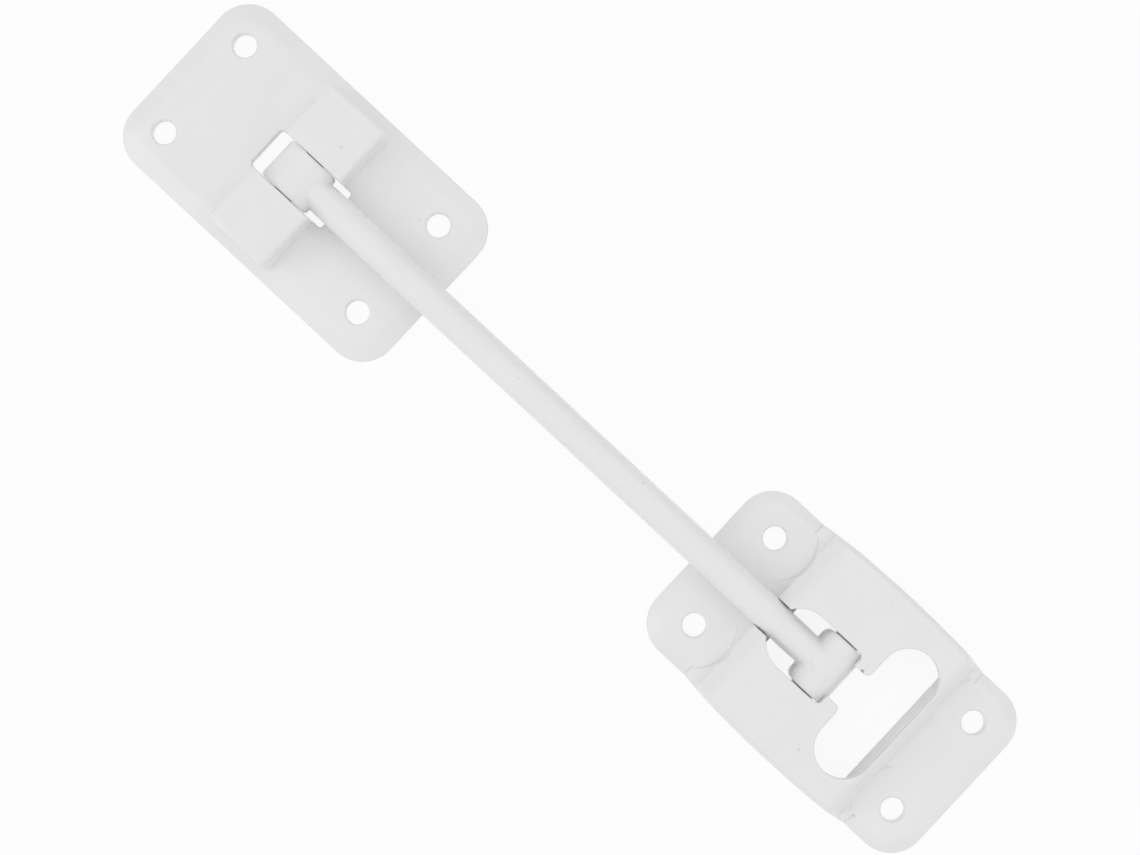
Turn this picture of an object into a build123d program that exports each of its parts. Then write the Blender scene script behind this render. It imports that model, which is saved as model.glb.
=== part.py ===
"""Door holder: a hinge plate for the wall, a swinging arm with a T-head, and a catch plate for the door.

Millimetres. X runs along the arm from the hinge to the catch, Z leaves the mounting face, and the
origin is the middle of the hinge plate's screw pattern, on its back. Both plates lie on Z = 0 and the
arm is hooked into the catch plate.
"""

from build123d import *
import os
from math import radians, sqrt, tan

# Arm: a round rod between two cross axes.
ARM_LENGTH = 152.4
ROD_D = 7.1
ROD_RISE = 1.45
ROOT_R = 0.6

# Hinge knuckle on the arm and the steel pin through it.
KNUCKLE_D = 12.7
KNUCKLE_W = 9.7
KNUCKLE_CORNER_R = 1.3
PIN_D = 4.76
PIN_L = 33.4
PIN_CHAMFER = 0.5
PIN_RUN_FIT = 0.05
PIN_SEAT_FIT = 0.03
PIN_SNAP = 0.2

# T-head on the arm: a barrel with a thinner crossbar through it.
HEAD_D = 10.3
HEAD_W = 13.6
HEAD_CORNER_R = 2.2
TEE_D = 6.0
TEE_L = 31.0
TEE_CHAMFER = 1.0

# Both plates.
PLATE_T = 2.8
PLATE_W = 43.9
CORNER_R = 8.0
SCREW_D = 5.2
SCREW_PITCH_Y = 25.4
SCREW_CHAMFER = 0.25
WALL_GAP = 0.3

# Hinge plate: outline, bevelled rim and the hollow hump over the pin.
HINGE_PITCH_X = 56.6
HINGE_MARGIN_FREE = 8.3
HINGE_MARGIN_ARM = 10.35
HINGE_RIM_RUN = 4.2
HINGE_RIM_DROP = 1.9
HINGE_RIM_R = 6.0
HUMP_SIDE = 2.0
HUMP_COVER = 0.8
PIN_END_GAP = 0.5
HUMP_CROWN = 1.3
HUMP_DRAFT = 2.0
HUMP_EDGE_R = 1.5
HUMP_END_R = 1.0
HUMP_FOOT_R = 1.2
HUMP_WALL = 2.0
CHEEK_T = 2.0
RIB_T = 1.8
RIB_SETBACK = 1.2
SLOT_OVERRUN = 1.95
SLOT_SIDE_GAP = 0.2
SLOT_CORNER_R = 0.8

# Catch plate: outline, bevelled rim, hollow hood and the T-slot through its roof.
CATCH_PITCH_X = 58.0
CATCH_LEAD = 3.3
CATCH_MARGIN_ARM = 9.7
CATCH_MARGIN_FREE = 8.9
CATCH_RIM_RUN = 2.8
CATCH_RIM_DROP = 1.6
CATCH_RIM_R = 4.0
HOOD_L = 46.8
HOOD_SLOPE = 32.2
HOOD_INSET = 3.1
HOOD_FOOT_R = 3.0
HOOD_SHOULDER_R = 4.5
HOOD_SIDE_CHAMFER = 0.9
HOOD_BULGE = 0.95
HOOD_CROWN = 0.4
HOOD_WALL = 2.2
HOOD_TEE_GAP = 0.85
HOOD_INNER_R = 1.6
HOOD_BACK = 12.1
SCALLOP_BITE = 0.5
POCKET_SIDE_GAP = 0.3
POCKET_BACK = 7.8
POCKET_LIP_GAP = 0.58
POCKET_CORNER_R = 1.3
THROAT_GAP = 0.75
LIP_L = 3.8
LIP_R = 1.4
GATE_HEAD_GAP = 1.3
GATE_TEE_GAP = 0.9
NOTCH_GAP = 0.3
SILL_DROP = 0.3

# Heights and places that follow from the sizes above.
AXIS_Z = KNUCKLE_D / 2 + WALL_GAP
ROD_Z = AXIS_Z + ROD_RISE
ROOF_Z = AXIS_Z + TEE_D / 2 + HOOD_TEE_GAP
HOOD_TOP = ROOF_Z + HOOD_WALL
HUMP_TOP = AXIS_Z + KNUCKLE_D / 2 + HUMP_COVER
HUMP_HALF = KNUCKLE_D / 2 + HUMP_SIDE
HUMP_L = PIN_L + 2 * (PIN_END_GAP + HUMP_WALL)
SLOT_W = KNUCKLE_W + 2 * SLOT_SIDE_GAP
SLOT_L = 2 * (HUMP_HALF + SLOT_OVERRUN)
HEAD_X = ARM_LENGTH
CATCH_X = HEAD_X + CATCH_LEAD
HOOD_END_X = HOOD_L / 2 - HOOD_INSET
SCALLOP_R = CATCH_PITCH_X / 2 - HOOD_END_X + SCALLOP_BITE
TALL = 4 * HUMP_TOP


def bar_y(diameter, length):
    """A round bar along Y, centred on the origin."""
    return Rot(90, 0, 0) * Cylinder(diameter / 2, length)


def barrel(width, diameter, corner_r):
    """A barrel along Y, centred on the origin, with its corners rounded as seen from above."""
    plan = RectangleRounded(diameter, width, corner_r)
    return bar_y(diameter, width) & extrude(plan, diameter, both=True)


def rimmed_plate(x_low, x_high, run, drop, break_r):
    """A round-cornered plate whose top rolls off to a thin edge all round."""
    outline = RectangleRounded(x_high - x_low, PLATE_W, CORNER_R)
    slab = Pos((x_low + x_high) / 2, 0, 0) * extrude(outline, PLATE_T)
    top = slab.faces().sort_by(Axis.Z)[-1]
    slab = chamfer(top.edges(), length=run, length2=drop, reference=top)
    return fillet(slab.faces().sort_by(Axis.Z)[-1].edges(), break_r)


def drill_screws(plate, x_mid, pitch_x):
    """Four through holes for the mounting screws, with softened rims on the front."""
    spots = Pos(x_mid, 0, PLATE_T / 2) * GridLocations(pitch_x, SCREW_PITCH_Y, 2, 2)
    plate -= spots * Cylinder(SCREW_D / 2, TALL)
    rims = plate.edges().filter_by(GeomType.CIRCLE).filter_by(
        lambda e: abs(e.radius - SCREW_D / 2) < 1e-4 and e.center().Z > PLATE_T / 2
    )
    return chamfer(rims, SCREW_CHAMFER)


def hump_block(half_foot, top, crown, half_length, edge_r, end_r):
    """A crowned ridge along Y with drafted sides, standing on Z = 0."""
    shoulder = top - crown
    half_top = half_foot - shoulder * tan(radians(HUMP_DRAFT))
    with BuildPart() as part:
        with BuildSketch(Plane.XZ):
            with BuildLine():
                Polyline((half_top, shoulder), (half_foot, 0), (-half_foot, 0), (-half_top, shoulder))
                ThreePointArc((-half_top, shoulder), (0, top), (half_top, shoulder))
            make_face()
            fillet(vertices().group_by(Axis.Y)[-1], edge_r)
        extrude(amount=half_length, both=True)
        if end_r > 0:
            ends = part.edges().filter_by(
                lambda e: abs(abs(e.center().Y) - half_length) < 1e-4 and e.center().Z > 0.1
            )
            fillet(ends, end_r)
    return part.part


def pin_notch():
    """Snap-in seat for the pin, open to the back: a narrow neck and a round seat."""
    neck = Pos(0, 0, AXIS_Z / 2) * Box(PIN_D - 2 * PIN_SNAP, PLATE_W, AXIS_Z)
    lead = Pos(0, 0, 0) * Rot(0, 45, 0) * Box(PIN_D / sqrt(2), PLATE_W, PIN_D / sqrt(2))
    seat = Pos(0, 0, AXIS_Z) * bar_y(PIN_D + 2 * PIN_SEAT_FIT, PLATE_W)
    return neck + lead + seat


def make_hinge_plate():
    x_low = -HINGE_PITCH_X / 2 - HINGE_MARGIN_FREE
    x_high = HINGE_PITCH_X / 2 + HINGE_MARGIN_ARM
    plate = rimmed_plate(x_low, x_high, HINGE_RIM_RUN, HINGE_RIM_DROP, HINGE_RIM_R)
    hump = hump_block(HUMP_HALF, HUMP_TOP, HUMP_CROWN, HUMP_L / 2, HUMP_EDGE_R, HUMP_END_R)
    joined = plate + hump
    plate = fillet(new_edges(plate, hump, combined=joined), HUMP_FOOT_R)
    inner_half = HUMP_L / 2 - HUMP_WALL
    hollow = hump_block(HUMP_HALF - HUMP_WALL, HUMP_TOP - HUMP_WALL, HUMP_CROWN, inner_half, HUMP_EDGE_R, 0)
    cheek_y = SLOT_W / 2 + CHEEK_T / 2
    rib_y = PIN_L / 2 - RIB_SETBACK - RIB_T / 2
    webs = Part()
    for side in (-1, 1):
        webs += Pos(0, side * cheek_y, 0) * Box(TALL, CHEEK_T, TALL)
        webs += Pos(0, side * rib_y, 0) * Box(TALL, RIB_T, TALL)
    plate -= hollow - webs
    plate -= pin_notch() & (Pos(0, 0, TALL / 2) * Box(TALL, 2 * inner_half, TALL))
    plate -= extrude(RectangleRounded(SLOT_L, SLOT_W, SLOT_CORNER_R), TALL)
    return drill_screws(plate, 0, HINGE_PITCH_X)


def make_hinge_pin():
    pin = bar_y(PIN_D, PIN_L)
    pin = chamfer(pin.edges().filter_by(GeomType.CIRCLE), PIN_CHAMFER)
    return Pos(0, 0, AXIS_Z) * pin


def make_hold_arm():
    knuckle = Pos(0, 0, AXIS_Z) * barrel(KNUCKLE_W, KNUCKLE_D, KNUCKLE_CORNER_R)
    head = Pos(HEAD_X, 0, AXIS_Z) * barrel(HEAD_W, HEAD_D, HEAD_CORNER_R)
    rod = Pos(ARM_LENGTH / 2, 0, ROD_Z) * Rot(0, 90, 0) * Cylinder(ROD_D / 2, ARM_LENGTH)
    arm = knuckle + rod + head
    arm = fillet(new_edges(knuckle, rod, head, combined=arm), ROOT_R)
    tee = bar_y(TEE_D, TEE_L)
    tee = chamfer(tee.edges().filter_by(GeomType.CIRCLE), TEE_CHAMFER)
    arm += Pos(HEAD_X, 0, AXIS_Z) * tee
    return arm - Pos(0, 0, AXIS_Z) * bar_y(PIN_D + 2 * PIN_RUN_FIT, PLATE_W)


def hood_block():
    """The raised middle of the catch plate: sloped end walls, round shoulders and bulged sides."""
    half = HOOD_L / 2
    half_top = half - (HOOD_TOP - PLATE_T) * tan(radians(HOOD_SLOPE))
    with BuildPart() as part:
        with BuildSketch(Plane.XZ):
            with BuildLine():
                Polyline(
                    (half_top, HOOD_TOP - HOOD_CROWN),
                    (half, PLATE_T),
                    (half, 0),
                    (-half, 0),
                    (-half, PLATE_T),
                    (-half_top, HOOD_TOP - HOOD_CROWN),
                )
                ThreePointArc(
                    (-half_top, HOOD_TOP - HOOD_CROWN), (0, HOOD_TOP), (half_top, HOOD_TOP - HOOD_CROWN)
                )
            make_face()
            fillet(vertices().group_by(Axis.Y)[-1], HOOD_SHOULDER_R)
        extrude(amount=PLATE_W, both=True)
        with BuildSketch():
            with BuildLine():
                side = PLATE_W / 2
                right = ThreePointArc((-half, side), (0, side + HOOD_BULGE), (half, side))
                left = ThreePointArc((half, -side), (0, -side - HOOD_BULGE), (-half, -side))
                Line(right @ 1, left @ 0)
                Line(left @ 1, right @ 0)
            make_face()
        extrude(amount=TALL, mode=Mode.INTERSECT)
    return Pos(CATCH_X, 0, 0) * part.part


def tee_slot():
    """Plan of the slot: pocket for the hooked head, throat between two lips, wide gate beyond."""
    pocket_w = HEAD_W + 2 * POCKET_SIDE_GAP
    chord = sqrt(max(HEAD_D**2 / 4 - (ROOF_Z - AXIS_Z) ** 2, 0))
    pocket_x = chord + POCKET_LIP_GAP
    gate_x = pocket_x + LIP_L
    throat_w = ROD_D + 2 * THROAT_GAP
    gate_w = HEAD_D + 2 * GATE_HEAD_GAP
    gate_l = TEE_L + 2 * GATE_TEE_GAP
    pocket = Pos((pocket_x - POCKET_BACK) / 2, 0) * Rectangle(pocket_x + POCKET_BACK, pocket_w)
    pocket = fillet(pocket.vertices().group_by(Axis.X)[-1], POCKET_CORNER_R)
    pocket += Pos(-POCKET_BACK, 0) * Circle(pocket_w / 2)
    throat = Pos((pocket_x + gate_x) / 2, 0) * Rectangle(LIP_L + gate_w, throat_w)
    gate = Pos(gate_x + gate_w / 2, 0) * Rot(0, 0, 90) * SlotOverall(gate_l, gate_w)
    plan = pocket + throat + gate
    corners = plan.vertices().filter_by(
        lambda v: abs(v.X - gate_x) < 1e-4 and abs(abs(v.Y) - throat_w / 2) < 1e-4
    )
    return Pos(HEAD_X, 0) * fillet(corners, LIP_R), HEAD_X + gate_x + gate_w


def make_catch_plate():
    x_low = CATCH_X - CATCH_PITCH_X / 2 - CATCH_MARGIN_ARM
    x_high = CATCH_X + CATCH_PITCH_X / 2 + CATCH_MARGIN_FREE
    plate = rimmed_plate(x_low, x_high, CATCH_RIM_RUN, CATCH_RIM_DROP, CATCH_RIM_R)
    hood = hood_block()
    side_y = PLATE_W / 2 - HOOD_BULGE
    side_z = PLATE_T + HOOD_SIDE_CHAMFER / 2
    sides = hood.edges().filter_by(lambda e: abs(e.center().Y) > side_y and e.center().Z > side_z)
    hood = chamfer(sides, HOOD_SIDE_CHAMFER)
    trough = Box(HOOD_L, 2 * PLATE_W, TALL)
    trough = fillet(trough.edges().filter_by(Axis.Y).group_by(Axis.Z)[0], HOOD_FOOT_R)
    over_plate = Pos(CATCH_X, 0, PLATE_T + TALL / 2)
    ends = over_plate * GridLocations(2 * HOOD_END_X + HOOD_L, PLATE_W, 2, 1)
    seats = over_plate * GridLocations(CATCH_PITCH_X, SCREW_PITCH_Y, 2, 2)
    plate += hood - ends * trough - seats * Cylinder(SCALLOP_R, TALL)
    slot, gate_end = tee_slot()
    cavity_low = HEAD_X - HOOD_BACK
    cavity = Pos((cavity_low + gate_end) / 2, 0, 0) * Box(
        gate_end - cavity_low, PLATE_W - 2 * HOOD_WALL, 2 * ROOF_Z
    )
    cavity = fillet(cavity.edges().filter_by(Axis.Y).group_by(Axis.Z)[-1], HOOD_INNER_R)
    plate -= cavity
    sill_z = ROD_Z - ROD_D / 2 - NOTCH_GAP - SILL_DROP
    plate -= Pos(0, 0, sill_z) * extrude(slot, TALL)
    notch_w = ROD_D + 2 * NOTCH_GAP
    notch = Plane.YZ * (Circle(notch_w / 2) + Pos(0, TALL / 2) * Rectangle(notch_w, TALL))
    notch_l = HEAD_X - POCKET_BACK - x_low
    plate -= Pos(x_low, 0, ROD_Z) * extrude(notch, notch_l)
    return drill_screws(plate, CATCH_X, CATCH_PITCH_X)


def main():
    os.makedirs("parts", exist_ok=True)
    pieces = {
        "hinge_plate": make_hinge_plate(),
        "hinge_pin": make_hinge_pin(),
        "hold_arm": make_hold_arm(),
        "catch_plate": make_catch_plate(),
    }
    for name, shape in pieces.items():
        export_step(shape, f"parts/{name}.step")


main()
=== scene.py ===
"""Door holder with a T-head arm: finishes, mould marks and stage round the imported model. Metres."""

import math

import bmesh
import bpy
from bpy.props import FloatProperty, FloatVectorProperty, PointerProperty
from mathutils import Matrix, Vector


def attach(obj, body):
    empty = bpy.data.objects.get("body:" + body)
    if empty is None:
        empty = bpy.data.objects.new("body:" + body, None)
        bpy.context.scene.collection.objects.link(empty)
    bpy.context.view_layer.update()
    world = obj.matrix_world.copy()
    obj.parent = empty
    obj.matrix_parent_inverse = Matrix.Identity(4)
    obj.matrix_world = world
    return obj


bl_info = {
    "name": "Door Holder",
    "version": (1, 0, 0),
    "blender": (4, 5, 0),
    "location": "View3D > Sidebar > Door Holder",
    "description": "Moulded plastic, steel pin, mould marks and stage for the packed door holder",
    "category": "Object",
}

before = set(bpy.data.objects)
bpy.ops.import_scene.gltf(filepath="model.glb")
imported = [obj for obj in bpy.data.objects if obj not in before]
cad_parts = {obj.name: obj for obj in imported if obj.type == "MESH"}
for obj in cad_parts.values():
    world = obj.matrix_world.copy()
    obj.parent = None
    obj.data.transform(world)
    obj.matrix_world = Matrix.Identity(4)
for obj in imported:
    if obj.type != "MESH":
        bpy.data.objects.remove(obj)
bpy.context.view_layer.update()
MM = 0.001
WHITE = (1.0, 1.0, 1.0, 1.0)

# Dark specks in the mouldings, in millimetres: where, how large and how dark.
HINGE_SPECKS = (
    ((3.2, 10.6, 13.6), 0.38, 0.22),
    ((24.6, 10.8, 2.8), 0.34, 0.20),
    ((34.4, -17.6, 2.75), 0.34, 0.14),
    ((-10.2, -13.3, 2.9), 0.40, 0.12),
)
ARM_SPECKS = (
    ((97.7, 2.1, 10.96), 0.40, 0.28),
    ((63.4, 0.3, 11.6), 0.34, 0.16),
)
CATCH_SPECKS = (
    ((158.3, 4.5, 12.66), 0.62, 0.75),
    ((179.5, -19.3, 2.7), 0.50, 0.30),
    ((159.7, -16.7, 12.6), 0.46, 0.22),
    ((153.5, 19.0, 12.6), 0.36, 0.14),
)

# Lines that the mould leaves on the arm, in millimetres: points with the line's half width.
SEAM = (
    ((7.2, 3.50, 8.1), 0.03),
    ((9.0, 3.54, 8.1), 0.09),
    ((144.5, 3.54, 8.1), 0.09),
    ((146.6, 3.50, 8.1), 0.03),
)
CREASE = (
    ((147.2, 0.8, 11.56), 0.03),
    ((148.5, -0.26, 11.64), 0.09),
    ((149.6, -1.5, 11.36), 0.12),
    ((150.5, -1.95, 11.46), 0.10),
    ((151.3, -2.25, 11.66), 0.03),
)
RIDGE_SIDES = 10

# Marks of the two ejectors on the roof of the hood's hollow, in millimetres.
PAD_SPOTS = ((148.4, 13.5, 10.5), (148.4, -13.5, 10.5))
PAD_RADIUS = 2.1
PAD_HEIGHT = 0.16
PAD_RIM_ROUND = 0.08
PAD_RIM_WIDTH = 0.5
PAD_DISH = 0.05
PAD_SIDES = 40

# How often the patterns repeat in a metre.
CLOUD_SCALE = 70.0
SPECKLE_SCALE = 150.0
PATCH_SCALE = 240.0
STREAK_SCALE = 260.0
PEEL_SCALE = 620.0
SCUFF_SCALE = 900.0
TEAR_SCALE = 2600.0
GRAIN_SCALE = 4200.0
RING_SCALE = (60.0, 9000.0, 60.0)

# How the melt ran, as a stretch of the streaks, and where each moulding starts in the patterns.
FLOW_ACROSS = (1.0, 0.4, 1.0)
FLOW_LENGTHWISE = (0.15, 1.0, 1.0)
HINGE_DRIFT = (0.011, 0.007, 0.003)
CATCH_DRIFT = (0.043, 0.019, 0.008)
ARM_DRIFT = (0.002, 0.031, 0.017)

PLASTIC_IOR = 1.5
BEVEL_SAMPLES = 8
SPECKLED_FROM = 0.86
RING_DEPTH = 0.01

# Stage, in metres. Lamps stand at a place from the aim, with a size and a share of gloss.
FLOOR_HALF = 4.0
FLOOR_DROP = 0.05 * MM
SENSOR_WIDTH = 36.0
SOFTBOX_PLACE = (-0.30, -0.12, 0.9)
SOFTBOX_SIZE = (1.5, 1.3)
PANELS = (
    ("low_panel", (-0.62, -0.80, 0.62), 0.9, 0.6),
    ("high_panel", (0.08, 0.75, 0.86), 0.8, 0.3),
    ("end_panel", (0.62, 0.10, 0.36), 0.5, 0.3),
)


class Value:
    """A socket in a node tree. Arithmetic on values adds Math nodes."""

    def __init__(self, nodes, socket):
        self.nodes = nodes
        self.socket = socket

    def _math(self, operation, first, second):
        return self.nodes.add("ShaderNodeMath", {"operation": operation}, {0: first, 1: second})

    def __add__(self, other):
        return self._math("ADD", self, other)

    def __sub__(self, other):
        return self._math("SUBTRACT", self, other)

    def __rsub__(self, other):
        return self._math("SUBTRACT", other, self)

    def __mul__(self, other):
        return self._math("MULTIPLY", self, other)

    def __gt__(self, other):
        return self._math("GREATER_THAN", self, other)

    __radd__ = __add__
    __rmul__ = __mul__


class Nodes:
    """One node tree, emptied and filled again node by node."""

    def __init__(self, tree):
        self.tree = tree
        tree.nodes.clear()

    def add(self, kind, settings=None, sockets=None, output=0):
        """A node of one kind: its settings first, then its sockets' values or links."""
        node = self.tree.nodes.new(kind)
        for name, value in (settings or {}).items():
            setattr(node, name, value)
        for key, value in (sockets or {}).items():
            if isinstance(value, Value):
                self.tree.links.new(value.socket, node.inputs[key])
            else:
                node.inputs[key].default_value = value
        return Value(self, node.outputs[output]) if node.outputs else None

    def tint(self, factor, low, high):
        """A colour between low and high."""
        settings = {"data_type": "RGBA", "clamp_factor": True}
        return self.add("ShaderNodeMix", settings, {0: factor, 6: low, 7: high}, 2)

    def span(self, value, low, high, to_low=0.0, to_high=1.0):
        """Value carried from one range to another, smoothly and within it."""
        sockets = {0: value, 1: low, 2: high, 3: to_low, 4: to_high}
        return self.add("ShaderNodeMapRange", {"interpolation_type": "SMOOTHSTEP"}, sockets)

    def noise(self, place, scale, detail, roughness):
        """Noise between 0 and 1 at a place."""
        sockets = {"Vector": place, "Scale": scale, "Detail": detail, "Roughness": roughness}
        return self.add("ShaderNodeTexNoise", None, sockets)

    def measure(self, operation, first, second):
        """A number from two vectors."""
        settings = {"operation": operation}
        return self.add("ShaderNodeVectorMath", settings, {0: first, 1: second}, "Value")


class PlasticLook(bpy.types.PropertyGroup):
    """Finish of the white mouldings."""

    white: FloatVectorProperty(
        name="White", description="Colour of the plastic", subtype="COLOR", size=3,
        default=(0.925, 0.925, 0.922), min=0, max=1,
    )
    clouded: FloatVectorProperty(
        name="Clouded", description="Colour where the melt has cooled slower", subtype="COLOR", size=3,
        default=(0.908, 0.909, 0.910), min=0, max=1,
    )
    # Lighter colour along sharp edges: a painted highlight, partly rubbing wear.
    edge_wear_and_highlight: FloatVectorProperty(
        name="Rubbed edge", description="Colour of edges polished by handling", subtype="COLOR", size=3,
        default=(0.945, 0.945, 0.942), min=0, max=1,
    )
    # Paler than the white: a painted highlight on the flash lines.
    flash: FloatVectorProperty(
        name="Flash", description="Colour of thin flash on the arm", subtype="COLOR", size=3,
        default=(0.97, 0.97, 0.967), min=0, max=1,
    )
    speck: FloatVectorProperty(
        name="Speck", description="Colour of the dark specks in the plastic", subtype="COLOR", size=3,
        default=(0.22, 0.21, 0.20), min=0, max=1,
    )
    roughness: FloatProperty(
        name="Roughness", description="Roughness of the moulded skin", subtype="FACTOR",
        default=0.24, min=0, max=1,
    )
    milkiness: FloatProperty(
        name="Milkiness", description="Share of light that enters the plastic", subtype="FACTOR",
        default=0.12, min=0, max=1,
    )
    milk_depth: FloatProperty(
        name="Milk depth", description="How far light spreads in the plastic", unit="LENGTH",
        default=0.8 * MM, min=0,
    )
    edge_radius: FloatProperty(
        name="Edge radius", description="Radius that sharp edges of the mould leave", unit="LENGTH",
        default=0.50 * MM, min=0,
    )
    skin_depth: FloatProperty(
        name="Skin depth", description="Depth of the mould's fine grain", unit="LENGTH",
        default=0.012 * MM, min=0,
    )


class SteelLook(bpy.types.PropertyGroup):
    """Finish of the hinge pin."""

    bright: FloatVectorProperty(
        name="Bright", description="Colour of the ground steel", subtype="COLOR", size=3,
        default=(0.60, 0.61, 0.63), min=0, max=1,
    )
    dull: FloatVectorProperty(
        name="Dull", description="Colour in the grinding lines", subtype="COLOR", size=3,
        default=(0.42, 0.43, 0.45), min=0, max=1,
    )
    roughness: FloatProperty(
        name="Roughness", description="Roughness of the ground steel", subtype="FACTOR",
        default=0.34, min=0, max=1,
    )


class StageLook(bpy.types.PropertyGroup):
    """Camera, lamps and floor."""

    aim: FloatVectorProperty(
        name="Aim", description="Point on the mounting plane below the camera", subtype="TRANSLATION",
        size=3, default=(78.4 * MM, 0.2 * MM, 0.0),
    )
    height: FloatProperty(
        name="Camera height", description="Camera above the mounting plane", unit="LENGTH",
        default=543 * MM,
    )
    lens: FloatProperty(
        name="Lens", description="Focal length on a 36 mm sensor", unit="CAMERA", default=79.68,
    )
    turn: FloatProperty(
        name="Turn", description="Turn of the image about the line of sight", subtype="ANGLE",
        default=math.radians(42.91),
    )
    softbox: FloatProperty(
        name="Softbox", description="Radiance of the overhead softbox", default=0.25, min=0,
    )
    low_panel: FloatProperty(
        name="Low panel", description="Radiance of the low panel on the -Y side", default=0.80, min=0,
    )
    high_panel: FloatProperty(
        name="High panel", description="Radiance of the high panel across from it", default=0.60, min=0,
    )
    end_panel: FloatProperty(
        name="End panel", description="Radiance of the panel beyond the catch", default=0.52, min=0,
    )
    dome_level: FloatProperty(
        name="Dome level", description="Radiance of the light all round", default=0.565, min=0,
    )
    key_way: FloatVectorProperty(
        name="Key direction", description="Side from which the dome is brightest",
        subtype="DIRECTION", size=3, default=(-0.10, -0.90, 0.42),
    )
    key_gain: FloatProperty(
        name="Key gain", description="How much brighter the dome is on that side", default=0.05, min=0,
    )
    floor: FloatVectorProperty(
        name="Floor", description="Colour of the floor", subtype="COLOR", size=3,
        default=(0.97, 0.97, 0.97), min=0, max=1,
    )
    floor_glow: FloatProperty(
        name="Floor glow", description="Share of plain white in the floor as it is seen",
        subtype="FACTOR", default=0.90, min=0, max=1,
    )


class DoorHolderLook(bpy.types.PropertyGroup):
    """All that a user would change."""

    plastic: PointerProperty(type=PlasticLook)
    steel: PointerProperty(type=SteelLook)
    stage: PointerProperty(type=StageLook)


def rgba(colour):
    return (*colour, 1.0)


def new_material(name):
    """An empty material, with its nodes."""
    material = bpy.data.materials.new(name)
    material.use_nodes = True
    return material, Nodes(material.node_tree)


def show(nodes, shader):
    """Sends a shader to the material's surface."""
    nodes.add("ShaderNodeOutputMaterial", None, {"Surface": shader})


def moulded_plastic(name, look, drift, flow, specks):
    """White moulded plastic: clouded body colour, fine skin, sharp edges lightened as painted highlight
    and partly rubbing wear, and a few specks.
    """
    material, nodes = new_material(name)
    spot = nodes.add("ShaderNodeTexCoord", None, None, "Object")
    place = nodes.add("ShaderNodeMapping", None, {"Vector": spot, "Location": drift})
    along = nodes.add("ShaderNodeMapping", None, {"Vector": place, "Scale": flow})

    cloud = nodes.span(nodes.noise(place, CLOUD_SCALE, 3.0, 0.55), 0.32, 0.70)
    streak = nodes.span(nodes.noise(along, STREAK_SCALE, 2.0, 0.5), 0.35, 0.75)
    rounded = nodes.add("ShaderNodeBevel", {"samples": BEVEL_SAMPLES}, {"Radius": look.edge_radius})
    flat = nodes.add("ShaderNodeNewGeometry", None, None, "Normal")
    level = nodes.measure("DOT_PRODUCT", rounded, flat)
    scuff = nodes.noise(place, SCUFF_SCALE, 3.0, 0.6)
    # Mask of sharp edges. It lightens the colour there, a painted highlight and partly rubbing wear,
    # and lowers the roughness.
    edge = nodes.span(1.0 - level, 0.004, 0.09) * nodes.span(scuff, 0.2, 0.75)

    # A scatter of faint speckles all over, then the specks that are placed one by one.
    cells = {"Vector": place, "Scale": SPECKLE_SCALE, "Randomness": 1.0}
    reach = nodes.add("ShaderNodeTexVoronoi", None, cells, "Distance")
    cell = nodes.add("ShaderNodeTexVoronoi", None, cells, "Color")
    chance = nodes.add("ShaderNodeSeparateColor", None, {0: cell}, "Red")
    dark = nodes.span(reach, 0.020, 0.034, 0.6, 0.0) * (chance > SPECKLED_FROM)
    for point, radius, depth in specks:
        gap = nodes.measure("DISTANCE", spot, Vector(point) * MM)
        ragged = gap + (scuff - 0.5) * (0.9 * radius * MM)
        dark = dark + nodes.span(ragged, 0.35 * radius * MM, radius * MM, depth, 0.0)

    colour = nodes.tint(cloud * 0.55 + streak * 0.35, rgba(look.white), rgba(look.clouded))
    # Sharp edges lightened: painted highlight, partly rubbing wear.
    colour = nodes.tint(edge * 0.6, colour, rgba(look.edge_wear_and_highlight))
    colour = nodes.tint(dark, colour, rgba(look.speck))
    rough = look.roughness + (cloud - 0.5) * 0.05 + (scuff - 0.5) * 0.06 - edge * 0.05

    grain = nodes.noise(place, GRAIN_SCALE, 2.0, 0.6)
    peel = nodes.noise(place, PEEL_SCALE, 1.0, 0.4)
    height = grain + peel * 1.6
    skin = nodes.add(
        "ShaderNodeBump", None,
        {"Strength": 0.5, "Distance": look.skin_depth, "Height": height, "Normal": rounded},
    )
    plastic = nodes.add(
        "ShaderNodeBsdfPrincipled", None,
        {
            "Base Color": colour,
            "Roughness": rough,
            "IOR": PLASTIC_IOR,
            "Normal": skin,
            "Subsurface Weight": look.milkiness,
            "Subsurface Radius": (1.0, 1.0, 1.0),
            "Subsurface Scale": look.milk_depth,
        },
    )
    show(nodes, plastic)
    return material


def flash_with_painted_highlight(name, look):
    """Thin flash on the arm, paler than the body: the paler colour is a painted highlight."""
    material, nodes = new_material(name)
    spot = nodes.add("ShaderNodeTexCoord", None, None, "Object")
    torn = nodes.span(nodes.noise(spot, TEAR_SCALE, 3.0, 0.6), 0.3, 0.7)
    plastic = nodes.add(
        "ShaderNodeBsdfPrincipled", None,
        {
            # Noise mixes towards the paler flash colour, a painted highlight.
            "Base Color": nodes.tint(torn, rgba(look.white), rgba(look.flash)),
            "Roughness": look.roughness + torn * 0.2,
            "IOR": PLASTIC_IOR,
        },
    )
    show(nodes, plastic)
    return material


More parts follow.
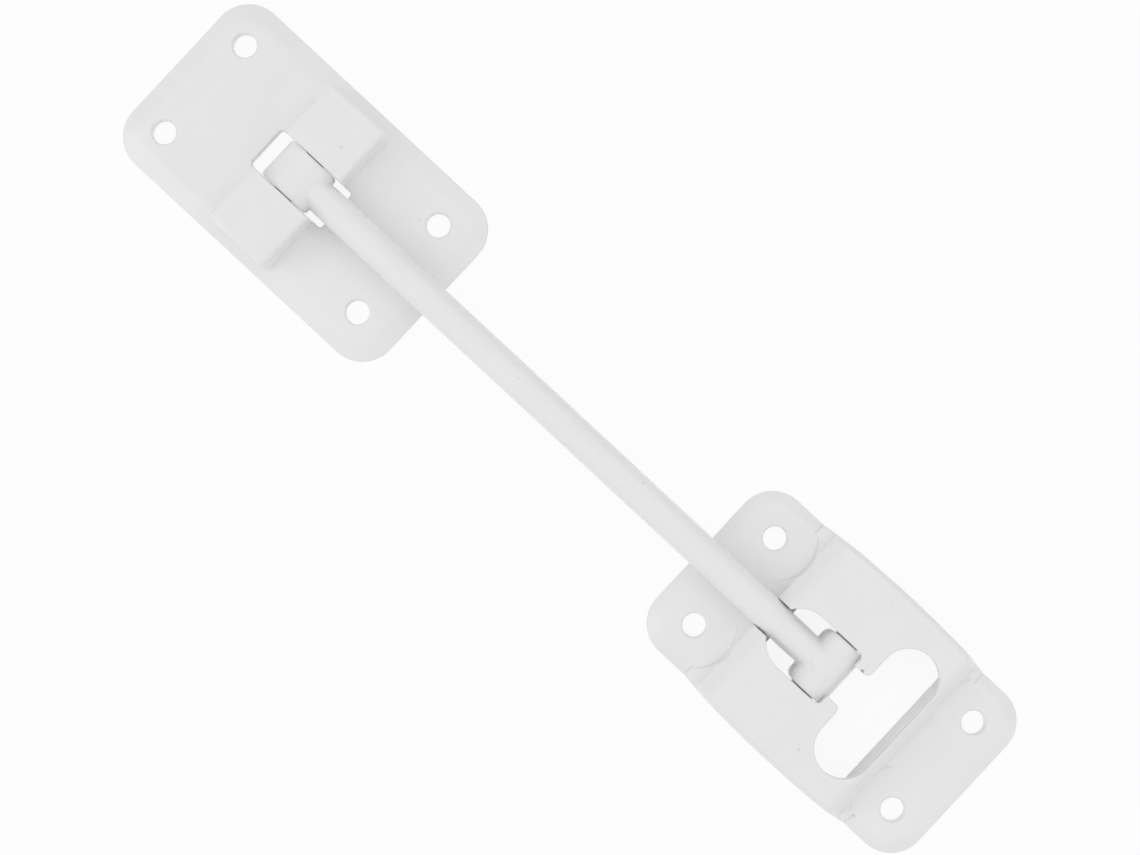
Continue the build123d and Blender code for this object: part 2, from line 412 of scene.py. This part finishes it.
def ground_steel(name, look):
    """Centreless-ground steel: fine rings round the pin."""
    material, nodes = new_material(name)
    spot = nodes.add("ShaderNodeTexCoord", None, None, "Object")
    ringed = nodes.add("ShaderNodeMapping", None, {"Vector": spot, "Scale": RING_SCALE})
    ring = nodes.noise(ringed, 1.0, 3.0, 0.6)
    patch = nodes.noise(spot, PATCH_SCALE, 3.0, 0.6)
    worn = nodes.span(ring, 0.3, 0.7) * 0.6 + patch * 0.3
    rough = look.roughness + (ring - 0.5) * 0.18 + (patch - 0.5) * 0.15
    skin = nodes.add(
        "ShaderNodeBump", None, {"Strength": 0.25, "Distance": RING_DEPTH * MM, "Height": ring},
    )
    steel = nodes.add(
        "ShaderNodeBsdfPrincipled", None,
        {
            "Base Color": nodes.tint(worn, rgba(look.bright), rgba(look.dull)),
            "Metallic": 1.0,
            "Roughness": rough,
            "Normal": skin,
        },
    )
    show(nodes, steel)
    return material


def dress(node, material):
    """Gives a CAD node its finish."""
    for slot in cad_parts[node].material_slots:
        slot.material = material


class DressPlates(bpy.types.Operator):
    """Give the hinge plate and the catch plate their moulded finish"""

    bl_idname = "door_holder.dress_plates"
    bl_label = "Dress plates"

    def execute(self, context):
        look = context.scene.door_holder.plastic
        hinge = moulded_plastic("hinge_plate_plastic", look, HINGE_DRIFT, FLOW_ACROSS, HINGE_SPECKS)
        catch = moulded_plastic("catch_plate_plastic", look, CATCH_DRIFT, FLOW_ACROSS, CATCH_SPECKS)
        dress("hinge_plate", hinge)
        dress("catch_plate", catch)
        return {"FINISHED"}


class DressArm(bpy.types.Operator):
    """Give the arm its moulded finish"""

    bl_idname = "door_holder.dress_arm"
    bl_label = "Dress arm"

    def execute(self, context):
        look = context.scene.door_holder.plastic
        dress("hold_arm", moulded_plastic("arm_plastic", look, ARM_DRIFT, FLOW_LENGTHWISE, ARM_SPECKS))
        return {"FINISHED"}


class DressPin(bpy.types.Operator):
    """Give the hinge pin its ground steel"""

    bl_idname = "door_holder.dress_pin"
    bl_label = "Dress pin"

    def execute(self, context):
        dress("hinge_pin", ground_steel("hinge_pin_steel", context.scene.door_holder.steel))
        return {"FINISHED"}


def disc(shape, sides, radius, place):
    """A round face in a shape, set by a matrix."""
    made = bmesh.ops.create_circle(shape, cap_ends=True, segments=sides, radius=radius, matrix=place)
    return made["verts"][0].link_faces[0]


def pull(shape, face, way):
    """Extrudes a face along a vector, and gives the face at the far end."""
    grown = bmesh.ops.extrude_face_region(shape, geom=[face])["geom"]
    far = next(item for item in grown if isinstance(item, bmesh.types.BMFace))
    bmesh.ops.translate(shape, vec=way, verts=far.verts)
    return far


def ridge(shape, stops):
    """A thin round ridge through a few stops, each a point and a half width in millimetres."""
    (at, size), *rest = [(Vector(point) * MM, half * MM) for point, half in stops]
    way = (rest[0][0] - at).to_track_quat("Z", "Y").to_matrix().to_4x4()
    start = disc(shape, RIDGE_SIDES, size, Matrix.Translation(at) @ way)
    cap = start
    for point, half in rest:
        far = pull(shape, cap, point - at)
        if cap is not start:
            bmesh.ops.delete(shape, geom=[cap], context="FACES_ONLY")
        growth = Vector((half, half, half)) / size
        bmesh.ops.scale(shape, vec=growth, space=Matrix.Translation(-point), verts=far.verts)
        cap, at, size = far, point, half


def ejector_pad(shape, spot):
    """The round mark that an ejector leaves on a roof: a low pad with a soft rim and a dish."""
    root = Vector(spot) * MM
    drop = Vector((0, 0, -PAD_HEIGHT * MM))
    down = Matrix.Translation(root) @ Matrix.Rotation(math.pi, 4, "X")
    face = pull(shape, disc(shape, PAD_SIDES, PAD_RADIUS * MM, down), drop)
    bmesh.ops.bevel(
        shape, geom=list(face.edges), offset=PAD_RIM_ROUND * MM, offset_type="OFFSET", affect="EDGES",
        segments=2, profile=0.5, material=-1,
    )
    middle = root + drop
    face = min(shape.faces, key=lambda item: (item.calc_center_median() - middle).length)
    bmesh.ops.inset_region(shape, faces=[face], thickness=PAD_RIM_WIDTH * MM, depth=-PAD_DISH * MM)


def moulded_piece(name, shape, body, material):
    """Closes a shape as a piece of white plastic that rides on a body."""
    bmesh.ops.recalc_face_normals(shape, faces=shape.faces)
    mesh = bpy.data.meshes.new(name)
    shape.to_mesh(mesh)
    shape.free()
    mesh.shade_smooth()
    mesh.materials.append(bpy.data.materials[material])
    piece = bpy.data.objects.new(name, mesh)
    bpy.context.scene.collection.objects.link(piece)
    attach(piece, body)


class AddMouldMarks(bpy.types.Operator):
    """Add the parting lines and the gate crease on the arm, and the ejector pads in the hood"""

    bl_idname = "door_holder.add_mould_marks"
    bl_label = "Add mould marks"

    def execute(self, context):
        flash_with_painted_highlight("flash_with_painted_highlight", context.scene.door_holder.plastic)
        seams = bmesh.new()
        ridge(seams, SEAM)
        ridge(seams, [((x, -y, z), half) for (x, y, z), half in SEAM])
        moulded_piece("arm_seams", seams, "arm", "flash_with_painted_highlight")
        crease = bmesh.new()
        ridge(crease, CREASE)
        moulded_piece("gate_crease", crease, "arm", "flash_with_painted_highlight")
        pads = bmesh.new()
        for spot in PAD_SPOTS:
            ejector_pad(pads, spot)
        moulded_piece("ejector_pads", pads, "catch", "catch_plate_plastic")
        return {"FINISHED"}


def seen_ray(nodes):
    """One for the rays that show a surface: to the camera, and by way of gloss or glass."""
    camera = nodes.add("ShaderNodeLightPath", None, None, "Is Camera Ray")
    glossy = nodes.add("ShaderNodeLightPath", None, None, "Is Glossy Ray")
    glass = nodes.add("ShaderNodeLightPath", None, None, "Is Transmission Ray")
    return camera + glossy + glass


def pale_floor(look):
    """Matt floor that is near white where it is seen, and keeps a share of its shadow."""
    material, nodes = new_material("pale_floor")
    matt = nodes.add("ShaderNodeBsdfDiffuse", None, {"Color": rgba(look.floor)})
    white = nodes.add("ShaderNodeEmission", None, {"Color": WHITE, "Strength": 1.0})
    share = seen_ray(nodes) * look.floor_glow
    show(nodes, nodes.add("ShaderNodeMixShader", None, {0: share, 1: matt, 2: white}))
    return material


def lay_floor(scene, look):
    """A wide floor just under the mounting plane."""
    shape = bmesh.new()
    bmesh.ops.create_grid(shape, x_segments=1, y_segments=1, size=FLOOR_HALF)
    bmesh.ops.translate(shape, vec=(0, 0, -FLOOR_DROP), verts=shape.verts)
    mesh = bpy.data.meshes.new("floor")
    shape.to_mesh(mesh)
    shape.free()
    mesh.materials.append(pale_floor(look))
    floor = bpy.data.objects.new("floor", mesh)
    scene.collection.objects.link(floor)


def white_dome(scene, look):
    """Light all round, a little stronger from one side, and white where it is seen."""
    world = bpy.data.worlds.new("white_dome")
    world.use_nodes = True
    nodes = Nodes(world.node_tree)
    shown = seen_ray(nodes)
    way = nodes.add("ShaderNodeTexCoord", None, None, "Generated")
    lit = nodes.measure("DOT_PRODUCT", way, look.key_way) * look.key_gain + look.dome_level
    level = shown + (1.0 - shown) * lit
    dome = nodes.add("ShaderNodeBackground", None, {"Color": WHITE, "Strength": level})
    nodes.add("ShaderNodeOutputWorld", None, {"Surface": dome})
    scene.world = world


def soft_lamp(scene, name, level, place, size, facing, gloss=1.0):
    """A rectangular lamp of one radiance that faces a point."""
    lamp = bpy.data.lights.new(name, "AREA")
    lamp.shape = "RECTANGLE"
    lamp.size, lamp.size_y = size
    lamp.energy = level * math.pi * lamp.size * lamp.size_y
    lamp.specular_factor = gloss
    holder = bpy.data.objects.new(name, lamp)
    holder.location = place
    holder.rotation_euler = (facing - place).to_track_quat("-Z", "Y").to_euler()
    scene.collection.objects.link(holder)


def set_camera(scene, look):
    """The camera straight above the aim, turned about its line of sight."""
    lens = bpy.data.cameras.new("camera")
    lens.sensor_width = SENSOR_WIDTH
    lens.lens = look.lens
    camera = bpy.data.objects.new("camera", lens)
    camera.location = Vector(look.aim) + Vector((0, 0, look.height))
    camera.rotation_euler = (0, 0, look.turn)
    scene.collection.objects.link(camera)
    scene.camera = camera


class SetStage(bpy.types.Operator):
    """Set the floor, the lamps and the camera"""

    bl_idname = "door_holder.set_stage"
    bl_label = "Set stage"

    def execute(self, context):
        scene = context.scene
        look = scene.door_holder.stage
        aim = Vector(look.aim)
        lay_floor(scene, look)
        white_dome(scene, look)
        above = aim + Vector(SOFTBOX_PLACE)
        soft_lamp(scene, "softbox", look.softbox, above, SOFTBOX_SIZE, above - Vector((0, 0, 1)))
        for name, place, size, gloss in PANELS:
            soft_lamp(scene, name, getattr(look, name), aim + Vector(place), (size, size), aim, gloss)
        set_camera(scene, look)
        scene.view_settings.view_transform = "Standard"
        return {"FINISHED"}


class DoorHolderPanel(bpy.types.Panel):
    """Steps and settings of the door holder"""

    bl_idname = "VIEW3D_PT_door_holder"
    bl_label = "Door Holder"
    bl_space_type = "VIEW_3D"
    bl_region_type = "UI"
    bl_category = "Door Holder"

    def draw(self, context):
        looks = context.scene.door_holder
        for step in STEPS:
            self.layout.operator(step.bl_idname)
        for group in (looks.plastic, looks.steel, looks.stage):
            box = self.layout.box()
            for name in group.__annotations__:
                box.prop(group, name)


STEPS = (DressPlates, DressArm, DressPin, AddMouldMarks, SetStage)
CLASSES = (PlasticLook, SteelLook, StageLook, DoorHolderLook, *STEPS, DoorHolderPanel)


def register():
    for cls in CLASSES:
        bpy.utils.register_class(cls)
    bpy.types.Scene.door_holder = PointerProperty(type=DoorHolderLook)


def unregister():
    del bpy.types.Scene.door_holder
    for cls in reversed(CLASSES):
        bpy.utils.unregister_class(cls)


def main():
    register()
    bpy.ops.door_holder.dress_plates()
    bpy.ops.door_holder.dress_arm()
    bpy.ops.door_holder.dress_pin()
    bpy.ops.door_holder.add_mould_marks()
    bpy.ops.door_holder.set_stage()


if __name__ == "__main__":
    main()
